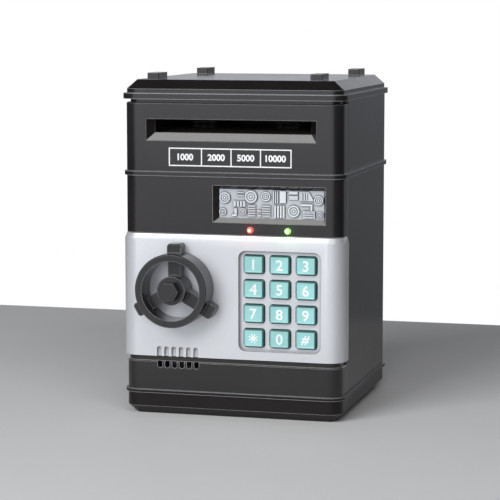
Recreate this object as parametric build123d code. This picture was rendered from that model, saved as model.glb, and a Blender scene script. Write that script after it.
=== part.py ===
from build123d import *
import math
import os

# Toy cash machine savings bank.  Millimetres, +Z up, front towards -Y.
# The origin is the centre of the base's underside.  At rest the door is shut and its bolt is drawn back.

# ---------------------------------------------------------------- driving dimensions
WALL = 2.0                    # moulded wall of every case part
CASE_HALF = 60.75             # half width and half depth of the square case
CORNER = 7.75                 # its vertical corner radius
RIB_OUT = 1.25                # how far the decorative ribs stand out
SEAM_Y = -44.5                # where the front mouldings meet the rear shells

BASE_TOP = 14.0               # top of the base tray's rib
LEDGE_Z = 30.0                # top of the lower front panel
DOOR_LOW, DOOR_HIGH = 33.0, 100.1
FRAME_LOW_EDGE = 100.4        # underside of the window band, above the door
DECK_LOW, DECK_HIGH = 131.6, 134.0
FASCIA_TOP = 171.2            # the note fascia stops short of the lid and leaves a shadow gap
LID_LOW, LID_RIB, LID_STRIP, LID_TOP = 173.0, 176.1, 178.5, 183.4
LID_TOP_HALF = 54.8
BLOCK_TOP = 187.0             # raised corner blocks on the lid

DOOR_HALF = 62.05             # the door stands proud of the case
DOOR_CORNER = DOOR_HALF - CASE_HALF + CORNER
DOOR_SKIN = 2.0
DOOR_SIDE_END = -47.3         # the door wraps round both corners to here
HINGE_X, HINGE_Y = CASE_HALF - CORNER, CORNER - CASE_HALF
SWING_CLEAR = 11.0            # radius that the door's wrapped edge needs about its pins

KNOB_X, KNOB_Z = -29.3, 71.0
KNOB_BACK = -62.35            # rear plane of the handwheel, just off the door
KNOB_FRONT = -77.3
KNOB_R, KNOB_INNER = 20.0, 16.15

PAD_X, PAD_Z = 27.25, 64.95   # centre of the keypad recess
PAD_W, PAD_H, PAD_R = 45.8, 54.9, 4.2
PAD_FLOOR = -59.6             # front face of the recess floor
KEY_W, KEY_H, KEY_FACE = 10.1, 8.7, -62.4
KEY_PITCH_X, KEY_PITCH_Z = 14.45, 13.35

PIN_R = 1.5                   # hinge pins
RUN = 0.06                    # radial running clearance of shafts and pins
GAP = 0.3                     # clearance between parts that move past each other

os.makedirs("parts", exist_ok=True)


# ---------------------------------------------------------------- small helpers
def block(x0, x1, y0, y1, z0, z1):
    """Box between two corners."""
    return Pos((x0 + x1) / 2, (y0 + y1) / 2, (z0 + z1) / 2) * Box(x1 - x0, y1 - y0, z1 - z0)


def rod_x(x0, x1, y, z, r):
    """Cylinder along X."""
    return Pos((x0 + x1) / 2, y, z) * Rot(0, 90, 0) * Cylinder(r, x1 - x0)


def rod_y(y0, y1, x, z, r):
    """Cylinder along Y."""
    return Pos(x, (y0 + y1) / 2, z) * Rot(90, 0, 0) * Cylinder(r, y1 - y0)


def rod_z(z0, z1, x, y, r):
    """Cylinder along Z."""
    return Pos(x, y, (z0 + z1) / 2) * Cylinder(r, z1 - z0)


def square_outline(half, radius, z):
    """Rounded square at a height, centred on the case."""
    return Pos(0, 0, z) * RectangleRounded(2 * half, 2 * half, radius)


def slab(half, radius, z0, z1):
    """Rounded square prism."""
    return extrude(square_outline(half, radius, z0), z1 - z0)


def taper(half0, radius0, z0, half1, radius1, z1):
    """Rounded square prism that changes size evenly from z0 to z1."""
    return loft([square_outline(half0, radius0, z0), square_outline(half1, radius1, z1)], ruled=True)


def tube(half, radius, wall, z0, z1):
    """Rounded square wall."""
    return slab(half, radius, z0, z1) - slab(half - wall, radius - wall, z0 - 1, z1 + 1)


def panel_y(x, z, width, height, radius, y0, y1):
    """Rounded rectangle facing front, between two planes."""
    face = Plane.XZ.offset(-y0) * Pos(x, z) * RectangleRounded(width, height, radius)
    return extrude(face, y0 - y1)


def splay_y(x0, x1, z0, z1, y0, inset, y1):
    """Rectangular funnel: the given box at y0, smaller by inset (left, right, low, high) at y1."""
    left, right, low, high = inset
    near = Pos((x0 + x1) / 2, y0, (z0 + z1) / 2) * Rot(90, 0, 0) * Rectangle(x1 - x0, z1 - z0)
    far_x0, far_x1, far_z0, far_z1 = x0 + left, x1 - right, z0 + low, z1 - high
    far = Pos((far_x0 + far_x1) / 2, y1, (far_z0 + far_z1) / 2) * Rot(90, 0, 0)
    return loft([near, far * Rectangle(far_x1 - far_x0, far_z1 - far_z0)], ruled=True)


def screw_z(x, y, z_head, length, up=1, shank=1.3, head=2.6, head_height=1.6):
    """Pan-head screw along Z; up=1 drives it upwards from its head."""
    low, high = sorted((z_head, z_head + up * head_height))
    body = rod_z(low, high, x, y, head)
    low, high = sorted((z_head + up * head_height, z_head + up * (head_height + length)))
    body += rod_z(low, high, x, y, shank)
    low, high = sorted((z_head, z_head + up * 0.8))
    cross = block(x - 1.6, x + 1.6, y - 0.3, y + 0.3, low, high)
    cross += block(x - 0.3, x + 0.3, y - 1.6, y + 1.6, low, high)
    return body - cross


def screw_y(x, z, y_head, length, shank=1.0, head=2.0, head_height=1.3):
    """Pan-head screw driven towards -Y, its head on the +Y side."""
    body = rod_y(y_head - head_height, y_head, x, z, head)
    body += rod_y(y_head - head_height - length, y_head - head_height, x, z, shank)
    cross = block(x - 1.2, x + 1.2, y_head - 0.6, y_head, z - 0.25, z + 0.25)
    cross += block(x - 0.25, x + 0.25, y_head - 0.6, y_head, z - 1.2, z + 1.2)
    return body - cross


def gear_face(teeth, module):
    """Outline of a spur gear with straight-sided teeth; a tooth is centred on +X."""
    pitch = 2 * math.pi / teeth
    root = module * (teeth / 2 - 1.2)
    tip = module * (teeth / 2 + 0.8)
    corners = []
    for tooth in range(teeth):
        middle = tooth * pitch
        for radius, offset in ((root, -0.29), (tip, -0.11), (tip, 0.11), (root, 0.29)):
            angle = middle + offset * pitch
            corners.append((radius * math.cos(angle), radius * math.sin(angle)))
    return make_face(Polyline(*corners, close=True))


def save(name, shape):
    """Write one node, keeping separate solids as one compound."""
    solids = shape.solids()
    part = solids[0] if len(solids) == 1 else Compound(children=list(solids))
    part.label = name
    export_step(part, f"parts/{name}.step")


def group(shapes):
    """Several separate solids that share one node."""
    return Compound(children=[solid for shape in shapes for solid in shape.solids()])


# ---------------------------------------------------------------- base tray and battery bay
BAY_X, BAY_Y0, BAY_Y1 = 24.0, -8.0, 50.0
FLOOR_T = 2.4
EAR_Y, EAR_HALF = BAY_Y0 - 6.0, 5.5        # screw ear at the front of the battery cover
SCREW_AT = 46.0               # case screws stand at plus and minus this in X and Y
CASE_POSTS = [(x, y) for x in (-SCREW_AT, SCREW_AT) for y in (-SCREW_AT, SCREW_AT)]
BOSS_R = 4.0


def base_tray():
    """Plinth with a bevelled foot, a rib round its top and an opening for the battery cover."""
    foot_height, foot_inset = 4.6, 5.2
    foot = taper(CASE_HALF - foot_inset, CORNER - foot_inset, 0, CASE_HALF, CORNER, foot_height)
    tray = foot + slab(CASE_HALF, CORNER, foot_height, BASE_TOP)
    tray += slab(CASE_HALF + RIB_OUT, CORNER + RIB_OUT, BASE_TOP - 1.8, BASE_TOP)
    inner = CASE_HALF - foot_inset - WALL
    tray -= slab(inner, 1.0, FLOOR_T, foot_height + 0.4)
    tray -= slab(CASE_HALF - WALL, CORNER - WALL, foot_height + 0.4, BASE_TOP + 1)
    tray += tube(CASE_HALF - WALL, CORNER - WALL, 1.2, 8.0, BASE_TOP + 2.6)
    tray -= block(-BAY_X - 1.6, BAY_X + 1.6, BAY_Y0 - 1.6, BAY_Y1 + 1.6, -1, 1.9)
    tray -= block(-BAY_X, BAY_X, BAY_Y0, BAY_Y1, -1, FLOOR_T + 1)
    tray += rod_z(FLOOR_T - 0.2, 11.0, 0, EAR_Y, 3.4)
    tray -= block(-EAR_HALF - 0.25, EAR_HALF + 0.25, EAR_Y - 4.25, BAY_Y0, -1, 1.9)
    tray -= rod_z(1.0, 10.0, 0, EAR_Y, 1.3)
    for x, y in CASE_POSTS:
        tray += rod_z(FLOOR_T - 0.2, BASE_TOP, x, y, BOSS_R)
        tray -= rod_z(-1, 6.0, x, y, 2.9)
        tray -= rod_z(-1, BASE_TOP + 1, x, y, 1.45)
    return tray


save("base_tray", base_tray())


def battery_box():
    """Open-bottomed box for three cells side by side, with a rib between cells."""
    z0, z1 = FLOOR_T, 20.6
    box = block(-BAY_X - 1.6, BAY_X + 1.6, BAY_Y0 - 1.6, BAY_Y1 + 1.6, z0, z1)
    box -= block(-BAY_X, BAY_X, BAY_Y0, BAY_Y1, z0 - 1, z1 - 1.6)
    for x in (-BAY_X / 3, BAY_X / 3):
        box += block(x - 0.5, x + 0.5, BAY_Y0 + 5, BAY_Y1 - 2, z1 - 8.0, z1 - 1.5)
    return box


save("battery_box", battery_box())

CELL_Z = 10.4
CELL_X = (-16.0, 0.0, 16.0)


def battery_springs():
    """Coil springs at the negative ends, one for each cell."""
    springs = []
    for x in CELL_X:
        start = (x, BAY_Y0 + 0.95, CELL_Z)
        line = Helix(pitch=1.5, height=4.4, radius=3.2, center=start, direction=(0, 1, 0))
        wire_end = Plane(origin=line @ 0, z_dir=line % 0)
        springs.append(sweep(wire_end * Circle(0.35), path=line, is_frenet=True))
    return group(springs)


save("battery_springs", battery_springs())


def battery_plates():
    """Pressed contact plates at both ends of the bay."""
    plates = []
    for x in CELL_X:
        plates.append(block(x - 4.5, x + 4.5, BAY_Y0 + 0.02, BAY_Y0 + 0.42, CELL_Z - 4.5, CELL_Z + 4.5))
        plate = block(x - 4.5, x + 4.5, BAY_Y1 - 0.42, BAY_Y1 - 0.02, CELL_Z - 4.5, CELL_Z + 4.5)
        plates.append(plate + rod_y(BAY_Y1 - 1.4, BAY_Y1 - 0.3, x, CELL_Z, 2.2))
    return group(plates)


save("battery_plates", battery_plates())


def battery_cover():
    """Flush cover under the bay: a tongue at the rear, one screw at the front."""
    cover = block(-BAY_X - 1.35, BAY_X + 1.35, BAY_Y0 - 1.35, BAY_Y1 + 1.35, 0, 1.85)
    cover -= block(-BAY_X + 5, BAY_X - 5, BAY_Y0 + 12, BAY_Y1 - 6, 1.2, 3)
    for step in range(5):
        y = BAY_Y1 - 6 - 1.8 * step
        cover -= block(-8, 8, y - 0.45, y + 0.45, -1, 0.5)
    cover += block(-EAR_HALF, EAR_HALF, EAR_Y - 4.0, BAY_Y0, 0, 1.85)
    cover -= rod_z(-1, 1.2, 0, EAR_Y, 2.75)
    cover -= rod_z(-1, 6, 0, EAR_Y, 1.45)
    return cover


save("battery_cover", battery_cover())
save("battery_cover_screw", screw_z(0, EAR_Y, 0.15, 7.5, head=2.5, head_height=1.0))


# ---------------------------------------------------------------- middle case: front frame and rear shell
WINDOW = (-10.2, 52.1, 107.1, 127.1)      # x0, x1, z0, z1 of the window's outer edge
WINDOW_INSET = (2.7, 1.8, 2.4, 2.2)
LED_AT = ((10.6, 103.35), (31.4, 103.35))
SLOT_X0, SLOT_PITCH, SLOT_W, SLOT_COUNT = -40.4, 4.15, 2.7, 6
SLOT_LOW, SLOT_HIGH = 26.3, 38.4
OPENING = (-52.5, 35.4, 96.5)             # left edge, bottom and top of the doorway
REBATE = 59.75                            # the frame behind the door's skin
REBATE_R = REBATE - CASE_HALF + CORNER
HINGE_PINS = ((24.0, 36.2), (96.4, 105.0))
FRONT = block(-70, 70, -70, SEAM_Y, 0, 200)


def sound_slots(y0, y1):
    """Six upright rounded slots that cross the door's lower edge."""
    height = SLOT_HIGH - SLOT_LOW
    slots = Part()
    for n in range(SLOT_COUNT):
        x = SLOT_X0 + n * SLOT_PITCH
        slots += panel_y(x, SLOT_LOW + height / 2, SLOT_W, height, SLOT_W / 2 - 0.01, y0, y1)
    return slots


def seam_groove(z0, z1):
    """Shallow witness groove where a front moulding meets its rear shell."""
    ring = slab(CASE_HALF + 1, CORNER + 1, z0, z1) - slab(CASE_HALF - 0.35, CORNER - 0.35, z0 - 1, z1 + 1)
    return ring & block(-70, 70, SEAM_Y - 0.45, SEAM_Y + 1, z0, z1)


def front_frame():
    """Front moulding: window band, doorway rebate with its sill, and the lower panel."""
    frame = tube(CASE_HALF, CORNER, WALL, BASE_TOP, LEDGE_Z)
    frame += tube(CASE_HALF, CORNER, WALL, FRAME_LOW_EDGE, DECK_LOW)
    frame += tube(REBATE, REBATE_R, WALL, LEDGE_Z - 4, FRAME_LOW_EDGE + 4)
    frame = frame & FRONT
    top_edges = frame.edges().filter_by(Axis.X).filter_by_position(Axis.Z, LEDGE_Z - 0.1, LEDGE_Z + 0.1)
    front_edge = top_edges.sort_by(Axis.Y)[0]
    frame = chamfer([front_edge], 0.45)
    frame -= seam_groove(BASE_TOP, DECK_LOW)
    left, low, high = OPENING
    frame -= block(left, 70, -61, -56, low, high)
    frame -= block(43, 70, -70, SEAM_Y + 1, DOOR_LOW - GAP, FRAME_LOW_EDGE)
    bosses = rod_z(22, DOOR_LOW - GAP, HINGE_X, HINGE_Y, 4.2)
    bosses += rod_z(FRAME_LOW_EDGE, 107.0, HINGE_X, HINGE_Y, 5.2)
    frame += bosses & slab(REBATE, REBATE_R, 0, 200)
    sill = slab(REBATE - 0.5, REBATE_R - 0.5, DOOR_LOW - 2.5, DOOR_LOW - GAP)
    frame += sill & block(43, 70, -70, SEAM_Y, 0, 200)
    for pin_low, pin_high in HINGE_PINS:
        frame -= rod_z(pin_low - 0.5, pin_high + 0.5, HINGE_X, HINGE_Y, PIN_R)
    x0, x1, z0, z1 = WINDOW
    depth = 4.0
    frame += block(x0 + 0.8, x1 - 0.4, -CASE_HALF + 1, -CASE_HALF + depth, z0 + 0.6, z1 + 1.2)
    frame -= splay_y(x0, x1, z0, z1, -CASE_HALF - 0.01, WINDOW_INSET, -CASE_HALF + depth + 0.01)
    for x, z in LED_AT:
        frame -= rod_y(-62, -57, x, z, 1.6)
    frame -= sound_slots(-61.5, -57) & block(-70, 0, -70, -50, 0, LEDGE_Z + 0.01)
    frame += block(-59.0, -57.7, -55.5, SEAM_Y, low - 2, high + 2)
    frame += block(-58.5, -56.4, -55.5, -48.0, 57, 72)
    frame -= block(-57.3, -50, -57.5, -52.9, 59.7, 65.3)
    for x in (-SCREW_AT, SCREW_AT):
        frame += rod_z(BASE_TOP + 0.1, 28, x, -SCREW_AT, BOSS_R)
        frame += block(x - 1, x + 1, -59.0, -SCREW_AT, BASE_TOP + 2.9, 28)
        frame -= rod_z(BASE_TOP - 1, 27, x, -SCREW_AT, 1.3)
    return frame


save("front_frame", front_frame())


def rear_shell():
    """Left, right and back walls of the middle case, with ribs for the cash floor."""
    shell = tube(CASE_HALF, CORNER, WALL, BASE_TOP, DECK_LOW)
    shell &= block(-70, 70, SEAM_Y, 70, 0, 200)
    for side in (-1, 1):
        x0, x1 = sorted((side * SCREW_AT, side * (CASE_HALF - 1)))
        shell += block(x0, x1, SCREW_AT - 1, SCREW_AT + 1, BASE_TOP + 2.9, 33.0)
        shell += rod_z(BASE_TOP + 0.1, 33.0, side * SCREW_AT, SCREW_AT, BOSS_R)
        shell -= rod_z(BASE_TOP - 1, 28, side * SCREW_AT, SCREW_AT, 1.3)
    for x0, x1 in ((-59.5, -57.0), (57.0, 59.5)):
        shell += block(x0, x1, -38, 45, 31.0, 33.9)
    shell -= rod_z(DOOR_LOW - 2.0, FRAME_LOW_EDGE, HINGE_X, HINGE_Y, SWING_CLEAR)
    return shell


save("rear_shell", rear_shell())


def hinge_jamb():
    """Curved guard behind the door's hinge edge, fixed to the right wall."""
    z0, z1 = DOOR_LOW, FRAME_LOW_EDGE - 0.2
    ring = rod_z(z0, z1, HINGE_X, HINGE_Y, SWING_CLEAR + 1.8) - rod_z(0, 200, HINGE_X, HINGE_Y, SWING_CLEAR)
    ring &= block(44.5, CASE_HALF - WALL - 0.02, -46.5, -30, z0, z1)
    flange = block(56.9, CASE_HALF - WALL - 0.02, -45, -34, z0 + 6, z1 - 6)
    flange -= rod_z(0, 200, HINGE_X, HINGE_Y, SWING_CLEAR)
    return ring + flange


save("hinge_jamb", hinge_jamb())
save("hinge_pins", group([rod_z(low, high, HINGE_X, HINGE_Y, PIN_R) for low, high in HINGE_PINS]))


BOARD = (-44.0, 18.0, -40.0, -14.0, 26.0, 27.6)      # control board, hung under the cash floor
BOARD_POSTS = [(x, y) for x in (BOARD[0] + 3, BOARD[1] - 3) for y in (BOARD[2] + 3, BOARD[3] - 3)]


def cash_floor():
    """Deck over the works; coins and notes rest on it."""
    deck = slab(CASE_HALF - WALL - 0.15, CORNER - WALL, 34.0, 36.0)
    deck &= block(-70, 70, -54.0, 70, 0, 200)
    deck -= block(-70, -52.2, -70, SEAM_Y + 0.3, 0, 200)
    deck -= block(41, 70, -70, -39.0, 0, 200)
    for x, y in BOARD_POSTS:
        deck += rod_z(BOARD[5] + 0.02, 34.1, x, y, 2.3) - rod_z(20, 33, x, y, 0.95)
    for n in range(7):
        deck += block(-42 + 14 * n - 0.6, -42 + 14 * n + 0.6, -36, 50, 35.8, 36.6)
    return deck


save("cash_floor", cash_floor())


def strike_plate():
    """Pressed plate on the left jamb; the bolt enters its slot."""
    plate = block(-56.35, -55.35, -55.8, -48.0, 57, 72)
    return plate - block(-60, -50, -57.3, -52.2, 59.6, 65.4)


save("strike_plate", strike_plate())


# ---------------------------------------------------------------- works under the cash floor
def speaker():
    """Small loudspeaker behind the sound slots: basket, cone and magnet."""
    x, z = SLOT_X0 + SLOT_PITCH * (SLOT_COUNT - 1) / 2, 22.0
    body = rod_y(-57.4, -55.4, x, z, 7.6) - rod_y(-58, -56.0, x, z, 6.6)
    body += rod_y(-55.5, -52.5, x, z, 6.4)
    body += rod_y(-52.6, -49.5, x, z, 5.0)
    return body


save("speaker", speaker())


def main_board():
    """Control board, carried on four posts that hang from the cash floor."""
    board = block(*BOARD)
    for x, y in BOARD_POSTS:
        board -= rod_z(BOARD[4] - 1, BOARD[5] + 1, x, y, 1.1)
    return board


save("main_board", main_board())


def board_parts():
    """Chips, capacitor, crystal, connectors and buzzer driver on the control board."""
    z = BOARD[4]
    parts = [block(-24, -14, -32, -24, z - 1.6, z), block(-6, 0, -31, -25, z - 1.4, z)]
    parts += [rod_z(z - 7.0, z, 9, -27, 3.0), rod_z(z - 5.5, z, 2, -20, 2.0)]
    parts += [block(-38, -33, -36, -20, z - 5.0, z), block(-30, -26, -20, -17, z - 2.6, z)]
    parts += [block(-10 + 3 * n, -8.4 + 3 * n, -36, -35.2, z - 0.7, z) for n in range(5)]
    return group(parts)


save("board_parts", board_parts())


def board_screw(x, y):
    """Small screw up through the board into its post."""
    return screw_z(x, y, BOARD[4] - 1.2, 6.4, shank=0.95, head=1.9, head_height=1.2)


save("board_screws", group([board_screw(x, y) for x, y in BOARD_POSTS]))
save("case_screws", group([screw_z(x, y, 4.2, 20) for x, y in CASE_POSTS]))


# ---------------------------------------------------------------- window: relief plate and indicators
RELIEF_BACK, RELIEF_FACE = -55.0, -56.7
LEFT, TOP = -7.4, 125.1       # top left corner of the part of the plate that shows


def relief_panel():
    """Silvered plate with moulded dials, louvres, pipes and ribbed housings."""
    x0, x1, z0, z1 = WINDOW
    plate = block(x0 + 0.4, x1 + 0.2, RELIEF_FACE, RELIEF_BACK, z0 + 0.2, z1 + 1.8)

    def pad(across, down, width, height, rise):
        x, z = LEFT + across, TOP - down
        return block(x, x + width, RELIEF_FACE - rise, RELIEF_FACE + 0.2, z - height, z)

    def dial(across, down, radius, rise):
        x, z = LEFT + across, TOP - down
        knob = rod_y(RELIEF_FACE - rise, RELIEF_FACE + 0.2, x, z, radius)
        knob -= rod_y(RELIEF_FACE - rise - 1, RELIEF_FACE - rise + 0.4, x, z, radius * 0.78)
        knob += rod_y(RELIEF_FACE - rise + 0.1, RELIEF_FACE, x, z, radius * 0.55)
        knob -= rod_y(RELIEF_FACE - rise - 1, RELIEF_FACE - rise + 0.4, x, z, radius * 0.36)
        return knob + rod_y(RELIEF_FACE - rise, RELIEF_FACE, x, z, radius * 0.2)

    for across, down, radius, rise in ((3.1, 4.8, 2.9, 1.3), (17.7, 4.0, 3.3, 1.3), (25.9, 3.7, 2.5, 1.1),
                                       (41.4, 11.3, 3.1, 1.3), (55.0, 5.2, 2.5, 1.2), (1.9, 12.4, 1.9, 1.0),
                                       (55.5, 13.0, 1.7, 0.9), (13.2, 12.2, 1.9, 0.9)):
        plate += dial(across, down, radius, rise)
    for across, down, width, height, rise in (
            (10.0, 1.6, 3.6, 0.6, 0.6), (9.6, 3.2, 4.4, 0.7, 0.6), (8.4, 10.4, 1.4, 3.6, 0.8),
            (7.2, 13.6, 2.6, 1.1, 1.0), (21.3, 11.2, 2.2, 0.8, 0.7), (21.3, 13.8, 2.2, 0.8, 0.7),
            (33.6, 0.6, 3.4, 6.4, 1.0), (38.6, 0.6, 4.9, 1.6, 0.8), (38.6, 3.0, 4.9, 2.2, 0.5),
            (45.2, 7.3, 6.4, 1.0, 1.0), (50.6, 7.3, 1.0, 3.6, 1.0), (46.3, 10.9, 6.6, 4.3, 0.7)):
        plate += pad(across, down, width, height, rise)
    for n in range(4):
        plate += pad(8.2 + 1.7 * n, 6.4, 1.0, 3.0, 0.9)
        plate += pad(30.6 + 1.55 * n, 8.4, 1.0, 6.8, 0.9)
    plate += pad(7.4, 6.2, 7.6, 3.4, 0.4)
    for n in range(3):
        plate += pad(29.9 + 1.15 * n, 0.8, 0.6, 6.4, 0.8)
    for across, width in ((15.9, 4.4), (23.7, 4.9)):
        plate += pad(across, 8.3, width, 6.8, 0.35)
        for n in range(5):
            plate += pad(across + 0.3, 8.7 + 1.3 * n, width - 0.6, 0.6, 0.8)
    wedge = make_face(Polyline((44.4, -0.7), (49.6, -0.7), (52.4, -5.6), (44.4, -5.6), close=True))
    corner = Plane(origin=(LEFT, RELIEF_FACE + 0.1, TOP), x_dir=(1, 0, 0), z_dir=(0, -1, 0))
    plate += corner * extrude(wedge, 0.8)
    for n in range(3):
        plate += pad(45.6 + 1.3 * n, 1.4, 0.6, 3.6, 1.2)
    for n in range(3):
        plate += pad(46.9, 11.6 + 1.2 * n, 5.2, 0.5, 1.1)
    return plate


save("relief_panel", relief_panel())


def indicator(x, z):
    """Domed 3 mm lamp with its flange."""
    lamp = rod_y(-61.0, -56.4, x, z, 1.5) + Pos(x, -61.0, z) * Sphere(1.5)
    return lamp + rod_y(-56.5, -55.5, x, z, 1.9)


save("led_red", indicator(*LED_AT[0]))
save("led_green", indicator(*LED_AT[1]))
save("led_board", block(2, 40, -55.4, -54.2, 101.2, 105.6))


# ---------------------------------------------------------------- deck between middle and upper case
NOTE_DROP = (-44.0, 44.0, 6.0, 21.0)
COIN_CHUTE = (-17.6, 17.6, 27.0, 32.6)


def mid_deck():
    """Plate whose edge is the middle rib, with openings for falling notes and coins."""
    deck = slab(CASE_HALF + RIB_OUT, CORNER + RIB_OUT, DECK_LOW, DECK_HIGH)
    deck += tube(CASE_HALF - WALL - 0.1, CORNER - WALL, 1.2, DECK_LOW - 2.4, DECK_HIGH + 2.4)
    for x0, x1, y0, y1 in (NOTE_DROP, COIN_CHUTE):
        deck -= block(x0, x1, y0, y1, DECK_LOW - 1, DECK_HIGH + 1)
    return deck


save("mid_deck", mid_deck())


# ---------------------------------------------------------------- upper case: note fascia, rear shell, lid
MOUTH = (-47.6, 46.9, 150.6, 162.3)
MOUTH_INSET = (4.0, 3.6, 4.3, 0.6)
MOUTH_DEPTH = 4.4


def upper_front():
    """Note fascia: a splayed mouth with a sloping sill."""
    front = tube(CASE_HALF, CORNER, WALL, DECK_HIGH, FASCIA_TOP) & FRONT
    top_edge = front.edges().filter_by(Axis.X).filter_by_position(Axis.Z, FASCIA_TOP - 0.1, FASCIA_TOP + 0.1)
    front = chamfer([top_edge.sort_by(Axis.Y)[0]], 0.5) - seam_groove(DECK_HIGH, FASCIA_TOP)
    x0, x1, z0, z1 = MOUTH
    back = -CASE_HALF + MOUTH_DEPTH
    front += block(x0 + 1.0, x1 - 1.0, -CASE_HALF + 1, back, z0 + 0.8, z1 + 1.8)
    front -= splay_y(x0, x1, z0, z1, -CASE_HALF - 0.01, MOUTH_INSET, back + 0.01)
    return front


save("upper_front", upper_front())


def upper_rear_shell():
    """Left, right and back walls of the upper case."""
    shell = tube(CASE_HALF, CORNER, WALL, DECK_HIGH, LID_LOW)
    shell &= block(-70, 70, SEAM_Y, 70, 0, 200)
    for x in (-SCREW_AT, SCREW_AT):
        shell += rod_z(162.0, 171.0, x, SCREW_AT + 6.0, BOSS_R) - rod_z(161, 172, x, SCREW_AT + 6.0, 1.45)
        shell += block(x - 1, x + 1, SCREW_AT + 9.0, CASE_HALF - 1, 162.0, 169.6)
    return shell


save("upper_rear_shell", upper_rear_shell())

COIN_SLOT = (-16.5, 16.5, 27.5, 32.1)
BLOCK_X, BLOCK_W, BLOCK_L = 45.4, 6.6, 15.8


def lid():
    """Bevelled lid with a rib, a coin slot and four raised corner blocks."""
    top = slab(CASE_HALF + 1.75, CORNER + 1.75, LID_LOW, LID_RIB)
    top += slab(60.5, 7.5, LID_RIB - 0.1, LID_STRIP)
    top += taper(60.5, 7.5, LID_STRIP, LID_TOP_HALF, 1.8, LID_TOP)
    top -= slab(CASE_HALF - WALL - 1.4, CORNER - WALL, LID_LOW - 1, LID_STRIP + 1.6)
    lip = tube(CASE_HALF - WALL - 0.15, CORNER - WALL, 1.5, LID_LOW - 3.0, LID_LOW + 0.5)
    top += lip
    for x in (-SCREW_AT, SCREW_AT):
        top += rod_z(171.1, LID_STRIP + 2, x, SCREW_AT + 6.0, 3.0) - rod_z(160, 179, x, SCREW_AT + 6.0, 1.3)
        for y in (-1, 1):
            y0, y1 = sorted((y * LID_TOP_HALF, y * (LID_TOP_HALF - BLOCK_L)))
            bar = block(-BLOCK_W / 2, BLOCK_W / 2, y0, y1, LID_TOP - 0.2, BLOCK_TOP)
            bar = fillet(bar.edges().filter_by(Axis.Z), 0.6)
            top += Pos(math.copysign(BLOCK_X, x), 0, 0) * bar
    x0, x1, y0, y1 = COIN_SLOT
    top -= block(x0, x1, y0, y1, LID_LOW, LID_TOP + 1)
    return top


save("lid", lid())
save("lid_screws", group([screw_z(x, SCREW_AT + 6.0, 160.4, 14.0) for x in (-SCREW_AT, SCREW_AT)]))


def coin_chute():
    """Upright duct that carries coins past the note feeder."""
    x0, x1, y0, y1 = COIN_CHUTE
    duct = block(x0 - 1.2, x1 + 1.2, y0 - 1.2, y1 + 1.2, DECK_HIGH + 0.02, 179.9)
    return duct - block(x0, x1, y0, y1, DECK_HIGH - 1, 181)


save("coin_chute", coin_chute())


# ---------------------------------------------------------------- note feeder
FEED_Y, DRIVE_Z, IDLER_Z = -28.0, 152.0, 164.35
ROLLER_R, SHAFT_R = 6.0, 2.0
CHEEK_X = 48.0                # side plates of the feeder
GEAR_X0, GEAR_X1 = 50.6, 54.6
GEAR_TEETH, PINION_TEETH = 24, 10
MESH_DROP = math.radians(24)  # the motor sits behind and below the driven shaft
MESH_REACH = (GEAR_TEETH + PINION_TEETH) / 2
MOTOR_Y = FEED_Y + MESH_REACH * math.cos(MESH_DROP)
MOTOR_Z = DRIVE_Z - MESH_REACH * math.sin(MESH_DROP)
MOTOR_R = 7.6


def feeder_frame():
    """Two side plates on a foot, carrying both shafts and the motor."""
    foot = block(-CHEEK_X - 1.8, CHEEK_X + 1.8, -44, -38, DECK_HIGH + 0.02, DECK_HIGH + 2.0)
    foot += block(-CHEEK_X - 1.8, CHEEK_X + 1.8, -6, 0, DECK_HIGH + 0.02, DECK_HIGH + 2.0)
    for side in (-1, 1):
        x0, x1 = sorted((side * CHEEK_X, side * (CHEEK_X + 1.8)))
        foot += block(x0, x1, -44, 0, DECK_HIGH + 0.02, 169.6)
    foot -= rod_x(-60, 60, FEED_Y, DRIVE_Z, SHAFT_R + RUN)
    foot -= rod_x(-60, 60, FEED_Y, IDLER_Z, SHAFT_R + RUN)
    foot -= rod_x(40, 60, MOTOR_Y, MOTOR_Z, 3.2)
    return foot


save("feeder_frame", feeder_frame())


def on_x(face, x0, x1, y, z, turn=0.0):
    """Extrude an outline drawn in XY so that its axis lies along X, from x0 to x1."""
    solid = extrude(Rot(0, 0, turn) * face, x1 - x0)
    return Plane(origin=(x0, y, z), x_dir=(0, 1, 0), z_dir=(1, 0, 0)) * solid


def drive_shaft():
    """Driven shaft with its moulded gear."""
    shaft = rod_x(-50.4, GEAR_X1 + 0.6, FEED_Y, DRIVE_Z, SHAFT_R)
    outline = gear_face(GEAR_TEETH, 1.0)
    return shaft + on_x(outline, GEAR_X0, GEAR_X1, FEED_Y, DRIVE_Z, -math.degrees(MESH_DROP))


def rollers(z):
    """Two ribbed rubber rollers on one shaft."""
    pair = []
    for x in (-24.0, 24.0):
        roller = rod_x(x - 6, x + 6, FEED_Y, z, ROLLER_R) - rod_x(x - 7, x + 7, FEED_Y, z, SHAFT_R)
        for n in (-2.4, 2.4):
            groove = rod_x(x + n - 0.5, x + n + 0.5, FEED_Y, z, ROLLER_R + 1)
            roller -= groove - rod_x(x + n - 1, x + n + 1, FEED_Y, z, ROLLER_R - 0.6)
        pair.append(roller)
    return group(pair)


save("drive_shaft", drive_shaft())
save("drive_rollers", rollers(DRIVE_Z))
save("idler_shaft", rod_x(-50.4, 50.2, FEED_Y, IDLER_Z, SHAFT_R))
save("idler_rollers", rollers(IDLER_Z))


def feed_motor():
    """Small can motor with its bearing nose through the side plate."""
    can = rod_x(22.0, 47.8, MOTOR_Y, MOTOR_Z, MOTOR_R) + rod_x(47.7, 49.7, MOTOR_Y, MOTOR_Z, 3.0)
    return can - rod_x(46, 52, MOTOR_Y, MOTOR_Z, 1.0 + RUN)


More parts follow.
